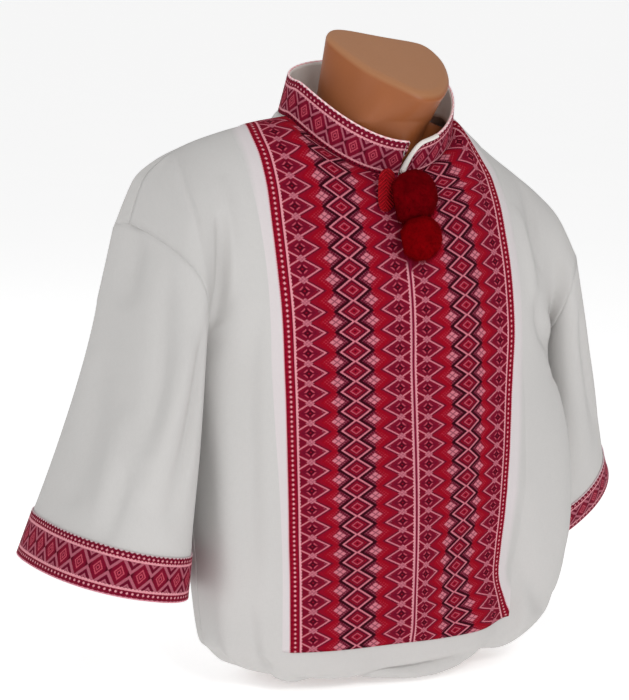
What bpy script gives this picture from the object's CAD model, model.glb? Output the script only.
# A short-sleeved vyshyvanka worn by a limbless dress form: cloth, woven strips, wool ties, plastic.
import math
import random

import bmesh
import bpy
import numpy as np
from mathutils import Matrix, Vector


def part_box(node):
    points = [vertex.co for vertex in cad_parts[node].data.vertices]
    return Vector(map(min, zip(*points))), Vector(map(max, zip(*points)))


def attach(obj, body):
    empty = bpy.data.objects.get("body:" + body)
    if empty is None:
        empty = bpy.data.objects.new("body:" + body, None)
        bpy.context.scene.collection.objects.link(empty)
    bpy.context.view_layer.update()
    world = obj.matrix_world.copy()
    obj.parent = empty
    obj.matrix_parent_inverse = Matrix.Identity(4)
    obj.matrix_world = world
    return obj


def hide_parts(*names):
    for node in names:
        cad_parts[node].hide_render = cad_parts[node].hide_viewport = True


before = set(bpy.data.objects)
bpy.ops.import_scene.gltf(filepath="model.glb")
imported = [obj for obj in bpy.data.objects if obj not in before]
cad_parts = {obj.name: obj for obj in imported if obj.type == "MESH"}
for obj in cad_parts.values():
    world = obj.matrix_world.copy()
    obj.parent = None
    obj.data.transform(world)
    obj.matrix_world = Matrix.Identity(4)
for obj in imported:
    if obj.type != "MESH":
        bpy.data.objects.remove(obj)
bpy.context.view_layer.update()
scene = bpy.context.scene

camera = {
    "place": (-1.2352, -2.0499, 0.6405),
    "right": (0.86719, -0.49769, 0.01726),
    "up": (0.05878, 0.13672, 0.98887),
    "back": (-0.49451, -0.85651, 0.14781),
    "lens": 141.43,
}
lights = [
    # name, place, what it looks at, width, height, watts
    ("keyLight", (-0.5, -2.8, 1.9), (0.0, 0.0, 0.30), 1.0, 0.8, 30.0),
    ("fillLight", (-2.4, -1.0, 1.1), (0.0, 0.0, 0.25), 1.4, 1.4, 8.0),
    ("topLight", (0.1, 0.3, 2.3), (0.0, 0.0, 0.30), 1.8, 1.4, 3.0),
    ("backLight", (-0.9, 2.0, 1.3), (0.0, 0.0, 0.30), 1.6, 1.2, 6.0),
]


def placeCamera():
    data = bpy.data.cameras.new("camera")
    data.lens = camera["lens"]
    data.sensor_width = 36
    data.clip_end = 200
    item = bpy.data.objects.new("camera", data)
    scene.collection.objects.link(item)
    axes = Matrix((camera["right"], camera["up"], camera["back"])).transposed()
    item.matrix_world = Matrix.Translation(camera["place"]) @ axes.to_4x4()
    scene.camera = item


def placeLights():
    for name, place, target, width, height, watts in lights:
        data = bpy.data.lights.new(name, "AREA")
        data.shape = "RECTANGLE"
        data.size = width
        data.size_y = height
        data.energy = watts
        item = bpy.data.objects.new(name, data)
        scene.collection.objects.link(item)
        item.location = place
        item.rotation_euler = (Vector(target) - Vector(place)).to_track_quat("-Z", "Y").to_euler()


placeCamera()
placeLights()
print("stage: camera and lights")


# shader sums: a wire is a socket that adds, multiplies and compares

class Wire:
    def __init__(self, net, socket):
        self.net = net
        self.socket = socket

    def op(self, operation, *values):
        return self.net.add("ShaderNodeMath", {"operation": operation}, [self, *values])

    def __add__(self, other):
        return self.op("ADD", other)

    def __sub__(self, other):
        return self.op("SUBTRACT", other)

    def __rsub__(self, other):
        return self.net.add("ShaderNodeMath", {"operation": "SUBTRACT"}, [other, self])

    def __mul__(self, other):
        return self.op("MULTIPLY", other)

    def __truediv__(self, other):
        return self.op("DIVIDE", other)

    __radd__ = __add__
    __rmul__ = __mul__

    def __abs__(self):
        return self.op("ABSOLUTE")

    def __floor__(self):
        return self.op("FLOOR")

    def fract(self):
        return self.op("FRACT")

    def sine(self):
        return self.op("SINE")

    def least(self, other):
        return self.op("MINIMUM", other)

    def ramp(self, slope, start):
        # a straight ramp held between 0 and 1
        settings = {"operation": "MULTIPLY_ADD", "use_clamp": True}
        return self.net.add("ShaderNodeMath", settings, [self, slope, start])

    def below(self, limit, soft=0.0002):
        # 1 where the wire is under the limit, with a soft edge
        return self.ramp(-1 / soft, limit / soft + 0.5)

    def above(self, limit, soft=0.0002):
        return self.ramp(1 / soft, 0.5 - limit / soft)

    def near(self, centre, half, soft=0.0002):
        return abs(self - centre).below(half, soft)


class Net:
    def __init__(self, name, **sockets):
        self.material = bpy.data.materials.new(name)
        self.material.use_nodes = True
        self.tree = self.material.node_tree
        self.shader = self.tree.nodes["Principled BSDF"]
        for key, value in sockets.items():
            self.shader.inputs[key.replace("_", " ")].default_value = value

    def add(self, kind, settings=None, values=None, out=0):
        node = self.tree.nodes.new(kind)
        for key, value in (settings or {}).items():
            if key == "stops":
                ramp = node.color_ramp
                while len(ramp.elements) < len(value):
                    ramp.elements.new(0.5)
                for element, (place, colour) in zip(ramp.elements, value):
                    element.position = place
                    element.color = colour
            else:
                setattr(node, key, value)
        pairs = values.items() if isinstance(values, dict) else enumerate(values or [])
        for key, value in pairs:
            if isinstance(value, Wire):
                self.tree.links.new(value.socket, node.inputs[key])
            else:
                node.inputs[key].default_value = value
        return Wire(self, node.outputs[out])

    def flatPlace(self):
        # across and along the cloth as it was cut, in metres
        return self.split(self.add("ShaderNodeUVMap", {"uv_map": "cut"}))[:2]

    def objectPlace(self):
        return self.add("ShaderNodeTexCoord", out=3)

    def split(self, vector):
        node = self.tree.nodes.new("ShaderNodeSeparateXYZ")
        self.tree.links.new(vector.socket, node.inputs[0])
        return [Wire(self, output) for output in node.outputs]

    def vector(self, x, y, z=0.0):
        return self.add("ShaderNodeCombineXYZ", None, [x, y, z])

    def over(self, under, colour, mask):
        # lays a colour over another where the mask is 1
        return self.add("ShaderNodeMix", {"data_type": "RGBA"}, {0: mask, 6: under, 7: colour}, out=2)

    def shade(self, colour, amount):
        # multiplies a colour by a grey amount
        settings = {"data_type": "RGBA", "blend_type": "MULTIPLY"}
        grey = self.vector(amount, amount, amount)
        return self.add("ShaderNodeMix", settings, {0: 1.0, 6: colour, 7: grey}, out=2)

    def noise(self, vector, scale, detail=2.0, rough=0.5):
        values = {"Vector": vector, "Scale": scale, "Detail": detail, "Roughness": rough}
        return self.add("ShaderNodeTexNoise", None, values)

    def feed(self, socket, wire):
        self.tree.links.new(wire.socket, self.shader.inputs[socket])

    def bump(self, height, depth, strength=1.0):
        # depth is the height in metres that a height of 1 stands for
        values = {"Strength": strength, "Distance": depth, "Height": height}
        self.feed("Normal", self.add("ShaderNodeBump", None, values))



def paint(red, green, blue):
    # a colour given on the 0 to 255 scale
    def linear(value):
        value = value / 255
        return value / 12.92 if value <= 0.04045 else ((value + 0.055) / 1.055) ** 2.4
    return (linear(red), linear(green), linear(blue), 1.0)


# curves and point grids

mergeDistance = 0.000002


def stepLengths(points):
    return np.linalg.norm(np.diff(points, axis=0), axis=1)


def runningTotal(steps):
    return np.concatenate(([0.0], np.cumsum(steps)))


def times(vector, factors):
    return Vector([part * factor for part, factor in zip(vector, factors)])


def tableAt(table, key):
    # smooth curve through the rows of a table; the first column is the key
    columns = np.array(table, float).T
    keys = columns[0]
    key = np.clip(np.asarray(key, float), keys[0], keys[-1])
    low = np.clip(np.searchsorted(keys, key) - 1, 0, len(keys) - 2)
    span = keys[low + 1] - keys[low]
    t = (key - keys[low]) / span
    found = []
    for values in columns[1:]:
        slopes = np.gradient(values, keys)
        start = (2 * t**3 - 3 * t**2 + 1) * values[low] + (t**3 - 2 * t**2 + t) * span * slopes[low]
        end = (3 * t**2 - 2 * t**3) * values[low + 1] + (t**3 - t**2) * span * slopes[low + 1]
        found.append(start + end)
    return found


def signedPower(value, power):
    return np.sign(value) * np.abs(value) ** power


def smoothStep(low, high, value):
    t = np.clip((value - low) / (high - low), 0.0, 1.0)
    return t * t * (3 - 2 * t)


def unit(vectors):
    return vectors / np.maximum(np.linalg.norm(vectors, axis=-1, keepdims=True), 1e-12)


def gridNormals(points, outward=1):
    rising = points[1:, 1:] - points[:-1, :-1]
    falling = points[1:, :-1] - points[:-1, 1:]
    padded = np.pad(unit(np.cross(rising, falling)), ((1, 1), (1, 1), (0, 0)))
    total = padded[:-1, :-1] + padded[1:, :-1] + padded[:-1, 1:] + padded[1:, 1:]
    return unit(total) * outward


def relaxed(points, rounds):
    # evens out a point grid; its edges stay
    for _ in range(rounds):
        inner = points[1:-1, 1:-1]
        mean = (points[:-2, 1:-1] + points[2:, 1:-1] + points[1:-1, :-2] + points[1:-1, 2:]) / 4
        points[1:-1, 1:-1] = inner + 0.5 * (mean - inner)
    return points


def gridObject(name, points, cut, material, closed=False, outward=None):
    # a grid of quads at the points, with the cut's places as its UV map
    rows, columns = points.shape[:2]
    bm = bmesh.new()
    station = bm.verts.layers.int.new("station")
    made = bmesh.ops.create_grid(bm, x_segments=columns - 1, y_segments=rows - 1, size=0.5)
    for vert in made["verts"]:
        column = round((vert.co.x + 0.5) * (columns - 1))
        row = round((vert.co.y + 0.5) * (rows - 1))
        vert[station] = row * columns + column
        vert.co = points[row, column]
    if cut is not None:
        layer = bm.loops.layers.uv.new("cut")
        flat = cut.reshape(-1, 2)
        for face in bm.faces:
            for loop in face.loops:
                loop[layer].uv = flat[loop.vert[station]]
    bm.normal_update()
    if outward is not None:
        total = sum(
            face.normal.dot(Vector(outward.reshape(-1, 3)[face.verts[0][station]]))
            for face in list(bm.faces)[:: max(1, len(bm.faces) // 400)]
        )
        if total < 0:
            bmesh.ops.reverse_faces(bm, faces=bm.faces[:])
    if closed:
        bmesh.ops.remove_doubles(bm, verts=bm.verts[:], dist=mergeDistance)
    return meshObject(name, bm, material)


def meshObject(name, bm, material, smooth=True):
    mesh = bpy.data.meshes.new(name)
    bm.to_mesh(mesh)
    bm.free()
    if smooth:
        mesh.shade_smooth()
    mesh.materials.append(material)
    item = bpy.data.objects.new(name, mesh)
    scene.collection.objects.link(item)
    return item


def fillHoles(piece):
    bm = bmesh.new()
    bm.from_mesh(piece.data)
    bmesh.ops.holes_fill(bm, edges=[edge for edge in bm.edges if edge.is_boundary], sides=0)
    bm.to_mesh(piece.data)
    bm.free()


def giveWall(item, wall, offset=-1.0):
    solid = item.modifiers.new("wall", "SOLIDIFY")
    solid.thickness = wall
    solid.offset = offset
    solid.use_even_offset = False
    solid.use_rim = True


def dress(item, node):
    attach(item, "root")
    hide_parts(node)


# the body's cloth: sections from the hem up to the underarm, then the yoke

body = {
    "detail": 6,  # points between two stations of the solids
    "halfColumns": 14,
    "stripColumns": 7,
    "neckColumns": 4,
    "yokeRows": 11,
    "stripShare": {-1: 0.560, 1: 0.505},
    "stripFirstRow": 4,
    "slitFirstRow": 4,
    "slitHalf": 0.0016,
    "neckAside": 0.0090,
    "leftDraw": 0.0060,
    "liftReach": 0.150,
    "wall": 0.0013,
    "underarmShare": 0.20,
    "creaseScale": (0.25, 0.62),    # metres that a whole share stands for, across and up
    "relaxRounds": 8,
    # height, half width, middle x and y, front, back, squareness, lifts, strip halves
    "sections": (
        (0, 0.0180, 0.1200, 0.008, -0.005, 0.0520, 0.0470, 2.4, 2.1, 0.012, 0.014, 0.090, 0.090),
        (1, 0.0080, 0.1380, 0.008, -0.006, 0.0640, 0.0530, 2.4, 2.1, 0.013, 0.016, 0.104, 0.100),
        (2, 0.0090, 0.1520, 0.008, -0.007, 0.0720, 0.0570, 2.5, 2.1, 0.014, 0.017, 0.116, 0.110),
        (3, 0.0210, 0.1640, 0.008, -0.008, 0.0780, 0.0590, 2.8, 2.1, 0.012, 0.015, 0.124, 0.116),
        (4, 0.0400, 0.1720, 0.007, -0.009, 0.0805, 0.0610, 3.0, 2.1, 0.002, 0.010, 0.1275, 0.117),
        (5, 0.0760, 0.1765, 0.006, -0.008, 0.0825, 0.0640, 3.1, 2.1, 0.003, 0.004, 0.129, 0.117),
        (6, 0.1200, 0.1765, 0.004, -0.004, 0.0870, 0.0710, 3.5, 2.2, 0.000, 0.001, 0.131, 0.119),
        (7, 0.1750, 0.1780, 0.002, 0.004, 0.0930, 0.0810, 3.5, 2.3, 0.000, 0.000, 0.133, 0.122),
        (8, 0.2300, 0.1790, 0.001, 0.013, 0.0970, 0.0870, 3.4, 2.4, 0.000, 0.000, 0.135, 0.124),
        (9, 0.2800, 0.1800, 0.000, 0.022, 0.1010, 0.0900, 3.2, 2.5, 0.000, 0.000, 0.136, 0.124),
    ),
    # share of the yoke, drift of its middle
    "drift": ((0, 0), (0.25, 0.0025), (0.5, 0.0080), (0.75, 0.0135), (0.9, 0.0115), (1, 0)),
    "driftColumns": ((-1.0, 0.0), (-0.56, 0.9), (0.0, 1.0), (0.28, 0.05), (1.0, 0.0)),
    # reach, right height, left height, y
    "shoulder": (
        (0.0800, 0.4880, 0.4880, 0.022),
        (0.1060, 0.4830, 0.4700, 0.029),
        (0.1340, 0.4750, 0.4530, 0.036),
        (0.1610, 0.4640, 0.4370, 0.043),
        (0.1830, 0.4500, 0.4200, 0.048),
        (0.1970, 0.4310, 0.4020, 0.051),
        (0.2070, 0.3980, 0.3720, 0.052),
    ),
    # share, reach, front y, back y, height
    "armhole": (
        (0.00, 0.1800, 0.022, 0.022, 0.280),
        (0.20, 0.1790, -0.018, 0.060, 0.292),
        (0.40, 0.1800, -0.045, 0.086, 0.322),
        (0.55, 0.1860, -0.052, 0.094, 0.352),
        (0.75, 0.2020, -0.030, 0.090, 0.381),
        (0.90, 0.2080, 0.015, 0.076, 0.394),
        (1.00, 0.2070, 0.052, 0.052, 0.398),
    ),
    "armholeTop": 0.398,
}

neck = {
    # half width, centre, front, back, front height, side height, back height, front aside
    "base": (0.0800, 0.0220, 0.0650, 0.0620, 0.4400, 0.4880, 0.4990, 0.0035),
    "rim": (0.0735, 0.0150, 0.0680, 0.0660, 0.4700, 0.5190, 0.5330, 0.0105),
    "spread": 1.2,
}

# Each crease: its path over the piece as column and row shares, its half width and
# depth in metres, a trough being below zero, and how much steeper its right side is.
creases = {
    "front": (
        # the seam allowance inside the armholes
        (((-0.982, 0.52), (-0.980, 0.76), (-0.978, 1.00)), 0.0022, 0.0011, 0.0),
        (((0.982, 0.52), (0.980, 0.76), (0.978, 1.00)), 0.0022, 0.0011, 0.0),
        # shoulder and armhole, wearer's right
        (
            ((-0.78, 0.98), (-0.864, 0.892), (-0.916, 0.833), (-0.958, 0.790), (-0.99, 0.73)),
            0.0085, 0.0071, 0.55,
        ),
        (((-0.88, 0.99), (-0.925, 0.93), (-0.950, 0.880), (-0.970, 0.84)), 0.0120, -0.0078, 0.0),
        (((-0.80, 0.76), (-0.835, 0.70), (-0.864, 0.635), (-0.822, 0.54)), 0.0150, -0.0093, -0.35),
        (((-0.70, 0.82), (-0.74, 0.70), (-0.76, 0.58)), 0.0130, 0.0043, 0.0),
        # soft verticals down the wearer's right side
        (((-0.60, 0.56), (-0.633, 0.43), (-0.686, 0.26)), 0.0160, -0.0053, 0.25),
        (((-0.78, 0.50), (-0.76, 0.37), (-0.80, 0.24)), 0.0170, 0.0047, 0.0),
        (((-0.70, 0.27), (-0.66, 0.17), (-0.60, 0.10)), 0.0130, -0.0065, 0.3),
        (((-0.84, 0.27), (-0.79, 0.18), (-0.75, 0.11)), 0.0120, 0.0056, 0.0),
        (((-0.92, 0.22), (-0.90, 0.14), (-0.86, 0.07)), 0.0130, -0.0062, 0.0),
        # the tuck where the cloth turns in under the form
        (
            ((-0.50, 0.10), (-0.36, 0.060), (-0.22, 0.050), (-0.08, 0.095), (0.10, 0.125), (0.30, 0.140)),
            0.0065, -0.0081, 0.3,
        ),
        (
            ((-0.42, 0.03), (-0.28, 0.020), (-0.12, 0.050), (0.06, 0.085), (0.28, 0.105)),
            0.0090, 0.0065, 0.0,
        ),
        (((-0.64, 0.12), (-0.55, 0.085), (-0.46, 0.030)), 0.0075, 0.0047, -0.3),
        # wearer's left side
        (((0.42, 0.02), (0.455, 0.16), (0.47, 0.27), (0.48, 0.34)), 0.0220, -0.0125, 0.2),
        (((0.457, 0.29), (0.60, 0.235), (0.80, 0.17)), 0.0110, -0.0047, 0.0),
        (((0.59, 0.57), (0.66, 0.49), (0.80, 0.43), (0.90, 0.36)), 0.0150, -0.0078, -0.2),
        (((0.56, 0.74), (0.58, 0.63), (0.60, 0.52)), 0.0140, 0.0047, 0.0),
        (((0.74, 0.86), (0.72, 0.75), (0.70, 0.62)), 0.0130, -0.0065, 0.3),
        (((0.80, 0.215), (0.80, 0.32), (0.80, 0.425)), 0.0375, 0.0130, 0.0),
        (((0.82, 0.28), (0.82, 0.41), (0.82, 0.54)), 0.0300, 0.0080, 0.0),
        (((-0.11, 0.02), (-0.10, 0.12), (-0.09, 0.22)), 0.0400, -0.0062, 0.0),
    ),
    "back": (
        (((-0.66, 0.10), (-0.62, 0.42), (-0.58, 0.75)), 0.0250, -0.0093, 0.2),
        (((-0.20, 0.05), (-0.22, 0.30), (-0.24, 0.55)), 0.0300, -0.0078, 0.0),
        (((0.15, 0.20), (0.18, 0.50), (0.21, 0.80)), 0.0250, -0.0093, 0.0),
        (((0.61, 0.08), (0.58, 0.36), (0.55, 0.65)), 0.0250, -0.0101, 0.2),
        (((0.81, 0.40), (0.80, 0.65), (0.79, 0.90)), 0.0180, 0.0047, 0.0),
        (((-0.93, 0.97), (-0.90, 0.88), (-0.84, 0.78), (-0.80, 0.66)), 0.0110, 0.0068, -0.4),
        (((-0.82, 0.30), (-0.86, 0.20), (-0.80, 0.10)), 0.0140, -0.0062, 0.0),
        (((-0.46, 0.13), (-0.30, 0.08), (-0.12, 0.09), (0.08, 0.06)), 0.0080, -0.0071, 0.3),
        (((0.22, 0.10), (0.40, 0.13), (0.58, 0.09)), 0.0090, 0.0062, 0.0),
        (((0.94, 0.95), (0.90, 0.86), (0.88, 0.74)), 0.0120, -0.0074, 0.3),
        (((0.40, 0.52), (0.37, 0.36), (0.42, 0.20)), 0.0150, 0.0047, 0.0),
        (((-0.40, 0.78), (-0.42, 0.62), (-0.40, 0.44)), 0.0160, 0.0043, 0.0),
    ),
}


def creaseDepth(table, across, along):
    # across and along are grids of places in metres over the piece
    depth = np.zeros_like(across)
    for path, half, deep, lean in table:
        path = np.array(path, float)
        steps = stepLengths(path)
        done = runningTotal(steps) / steps.sum()
        nearest = np.full(across.shape, 1e9)
        share = np.zeros_like(across)
        beside = np.zeros_like(across)
        for index in range(len(path) - 1):
            start, run = path[index], path[index + 1] - path[index]
            t = ((across - start[0]) * run[0] + (along - start[1]) * run[1]) / (run @ run)
            t = np.clip(t, 0, 1)
            gap = np.hypot(across - start[0] - t * run[0], along - start[1] - t * run[1])
            closer = gap < nearest
            nearest = np.where(closer, gap, nearest)
            share = np.where(closer, done[index] + t * (done[index + 1] - done[index]), share)
            beside = np.where(closer, np.sign(across - start[0] - t * run[0]), beside)
        taper = np.sin(np.clip(share, 0.0, 1.0) * math.pi) ** 0.7
        depth += deep * np.exp(-((nearest / (half * (1 - lean * beside))) ** 2)) * taper
    return depth


bodyColumns = body["halfColumns"] * body["detail"]
stripColumns = body["stripColumns"] * body["detail"]
yokeRows = body["yokeRows"] * body["detail"]
chestRow = 9 * body["detail"]


def columnShares():
    outer = np.linspace(0, 1, bodyColumns - stripColumns + 1)
    inner = np.linspace(0, 1, stripColumns + 1)
    sides = []
    for side in (-1, 1):
        edge = body["stripShare"][side]
        sides.append(np.concatenate((inner * edge, edge + outer[1:] * (1 - edge))))
    return np.concatenate((-sides[0][::-1], sides[1][1:]))


def sectionPoints(section, half, columns, taken=0.0):
    (height, halfWidth, middleX, middleY, front, back, frontSquare, backSquare,
     rightLift, leftLift, rightStrip, leftStrip) = section
    angles = np.linspace(-math.pi, math.pi, 1441)
    ahead = np.cos(angles) > 0.001
    power = 2 / np.where(ahead, frontSquare, backSquare)
    x = middleX + halfWidth * signedPower(np.sin(angles), power)
    y = middleY - np.where(ahead, front, back) * signedPower(np.cos(angles), power)
    length = runningTotal(np.hypot(np.diff(x), np.diff(y)))
    halfLength = length[-1] / 2
    if half == "back":
        places = halfLength - 0.5 * halfLength * columns * (1 - taken * np.abs(columns) ** 4)
    else:
        end = 0.5 * halfLength * (1 - taken)
        keys = (-1.0, -body["stripShare"][-1], 0.0, body["stripShare"][1], 1.0)
        places = np.interp(columns, keys, (-end, -rightStrip, 0.0, leftStrip, end))
    places = (np.interp(0.0, x[ahead], length[ahead]) + places) % length[-1]
    across = np.interp(places, length, x)
    lift = np.where(across < 0, rightLift, leftLift)
    up = height + lift * (across / body["liftReach"]) ** 2
    return np.stack((across, np.interp(places, length, y), up), axis=1)


def neckPoint(ring, half, angle, side):
    halfWidth, centre, front, back, frontHeight, sideHeight, backHeight, frontAside = ring
    along = max(math.cos(angle), 0.0)
    aside = body["neckAside"]
    if half == "front":
        aside += (frontAside - body["neckAside"]) * along**2
    depth, middle = (-front, frontHeight) if half == "front" else (back, backHeight)
    return np.array((
        aside + side * halfWidth * math.sin(angle),
        centre + depth * along,
        sideHeight + (middle - sideHeight) * along**1.4,
    ))


def shoulderPoint(share, side):
    near, far = body["shoulder"][0][0], body["shoulder"][-1][0]
    reach = near + share * (far - near)
    right, left, y = tableAt(body["shoulder"], reach)
    x = side * reach + body["neckAside"] * (1 - share) - body["leftDraw"] * share**2 * (side > 0)
    return np.array((x, y, right if side < 0 else left))


def topPoint(half, column):
    side = -1 if column < 0 else 1
    share = abs(column)
    neckShare = body["neckColumns"] / body["stripColumns"] * body["stripShare"][side]
    if share <= neckShare + 0.0001:
        turn = min(share / neckShare, 1.0) ** neck["spread"]
        return neckPoint(neck["base"], half, turn * math.pi / 2, side)
    return shoulderPoint((share - neckShare) / (1 - neckShare), side)


def armholePoint(half, share, side):
    reach, frontY, backY, height = tableAt(body["armhole"], share)
    drop = body["armholeTop"] - shoulderPoint(1.0, side)[2]
    x = side * reach - body["leftDraw"] * share**2 * (side > 0)
    return np.array((x, frontY if half == "front" else backY, height - drop * share**2))


def bodyHalf(half):
    columns = columnShares()
    stations = np.linspace(0, 9, chestRow + 1)
    sections = np.array(tableAt(body["sections"], stations)).T
    rows = [sectionPoints(section, half, columns) for section in sections]
    high = np.array([topPoint(half, column) for column in columns])
    nearNeck = 1 - smoothStep(0.28, 0.50, np.abs(columns))
    for step in range(1, yokeRows + 1):
        share = step / yokeRows
        lean = 1 - math.cos(share * math.pi / 2)
        rise = math.sin(share * math.pi / 2)
        taken = body["underarmShare"] * math.sin(min(share / 0.5, 1.0) * math.pi / 2)
        low = sectionPoints(sections[-1], half, columns, taken)
        across = lean + (rise - lean) * nearNeck
        blend = np.stack((across, np.full(len(columns), lean), np.full(len(columns), rise)), axis=1)
        row = low + (high - low) * blend
        drift = tableAt(body["drift"], share)[0]
        row[:, 0] -= drift * np.interp(columns, *np.array(body["driftColumns"]).T) * (half == "front")
        for end, side in ((0, -1), (-1, 1)):
            pull = armholePoint(half, share, side) - row[end]
            row = row + (np.clip(side * columns, 0.0, 1.0) ** 5)[:, None] * pull
        rows.append(row)
    points = relaxed(np.array(rows), body["relaxRounds"])
    outward = 1 if half == "front" else -1
    shares = np.linspace(0, 1, len(points))
    wide, tall = body["creaseScale"]
    across = np.tile(columns, (len(points), 1)) * wide
    along = np.tile(shares[:, None], (1, len(columns))) * tall
    scaled = [(np.array(path) * (wide, tall), *rest) for path, *rest in creases[half]]
    depth = creaseDepth(scaled, across, along) * (1 - np.abs(columns) ** 6)
    return points + gridNormals(points, outward) * depth[:, :, None]


def arcGrid(points, middle):
    # places across from the middle column and up from the hem, in metres
    across = np.linalg.norm(np.diff(points, axis=1), axis=2)
    across = np.concatenate((np.zeros((len(points), 1)), np.cumsum(across, axis=1)), axis=1)
    across -= across[:, middle:middle + 1]
    along = np.linalg.norm(np.diff(points, axis=0), axis=2)
    along = np.concatenate((np.zeros((1, points.shape[1])), np.cumsum(along, axis=0)))
    return np.stack((across, along), axis=2)


def flattened(points, start, rounds=1500):
    # lays a worn piece flat again: the threads keep their lengths as nearly as they can
    flat = start.copy()
    pairs = []
    for down, over in ((0, 1), (1, 0), (1, 1), (1, -1)):
        if over >= 0:
            first = (slice(0, len(points) - down), slice(0, points.shape[1] - over))
            other = (slice(down, None), slice(over, None))
        else:
            first = (slice(0, len(points) - 1), slice(1, None))
            other = (slice(1, None), slice(0, points.shape[1] - 1))
        pairs.append((first, other, np.linalg.norm(points[other] - points[first], axis=2)))
    for _ in range(rounds):
        move = np.zeros_like(flat)
        for first, other, length in pairs:
            gap = flat[other] - flat[first]
            now = np.linalg.norm(gap, axis=2)
            push = gap * ((now - length) / np.maximum(now, 1e-9))[:, :, None] * 0.12
            move[first] += push
            move[other] -= push
        flat += move
        flat[:, 0, 0] = 0.0
        flat[0, :, 1] = 0.0
    return flat


front = bodyHalf("front")
back = bodyHalf("back")
whole = (front.copy(), back.copy())
for points, other in ((front, whole[1]), (back, whole[0])):
    # the two halves meet along the side and the shoulder seams
    points[:chestRow + 1, 0] = 0.5 * (whole[0][:chestRow + 1, 0] + whole[1][:chestRow + 1, 0])
    points[:chestRow + 1, -1] = 0.5 * (whole[0][:chestRow + 1, -1] + whole[1][:chestRow + 1, -1])
print("stage: the body's surface", front.shape)


# white cloth

cloth = {
    "colour": paint(202, 200, 198),
    "margin": paint(215, 208, 209),
    "lining": paint(236, 231, 226),
    "thread": 0.00050,
}


def weaveRelief(u, v, thread):
    # plain weave: warp and weft threads cross over and under
    checker = ((math.floor(u / thread) + math.floor(v / thread)) / 2).fract() * 2
    warp = abs((u * (math.pi / thread)).sine())
    weft = abs((v * (math.pi / thread)).sine())
    return warp * checker + weft * (1 - checker)


def clothGround(net, colour, u, v):
    # the plain cloth's colour and relief, with its uneven threads
    relief = weaveRelief(u, v, cloth["thread"])
    slubs = net.noise(net.vector(u * 220, v * 1400), 1.0, 3.0)
    slubsDown = net.noise(net.vector(u * 1400, v * 180), 1.0, 3.0)
    cloudy = net.noise(net.vector(u * 14, v * 14), 1.0, 3.0)
    grey = 0.90 + 0.08 * slubs + 0.07 * slubsDown + 0.04 * cloudy
    return net.shade(colour, grey), relief + slubs * 0.9 + slubsDown * 0.9


def clothMaterial(name, ground):
    net = Net(name, Roughness=0.90, Specular_IOR_Level=0.20)
    u, v = net.flatPlace()
    colour, height = clothGround(net, ground, u, v)
    net.feed("Base Color", colour)
    net.bump(height, 0.00012, 0.55)
    return net.material


plainCloth = clothMaterial("whiteCloth", cloth["colour"])
liningCloth = clothMaterial("liningCloth", cloth["lining"])


# the woven ornament

thread = {"across": 0.00055, "along": 0.00055}

red = {
    "crimson": paint(140, 6, 34),
    "bright": paint(148, 3, 28),
    "wine": paint(120, 12, 40),
    "burgundy": paint(100, 8, 36),
    "dark": paint(76, 2, 24),
    "black": paint(50, 0, 15),
    "rose": paint(188, 74, 92),
    "pink": paint(206, 118, 132),
    "palePink": paint(224, 150, 160),
    "dustyPink": paint(172, 92, 108),
    "greyPink": paint(140, 68, 84),
    "brick": paint(170, 42, 60),
    "seam": paint(134, 20, 54),
    "edgePink": paint(222, 180, 188),
    "lowEdge": paint(226, 150, 166),
    "highEdge": paint(226, 196, 202),
}

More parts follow.
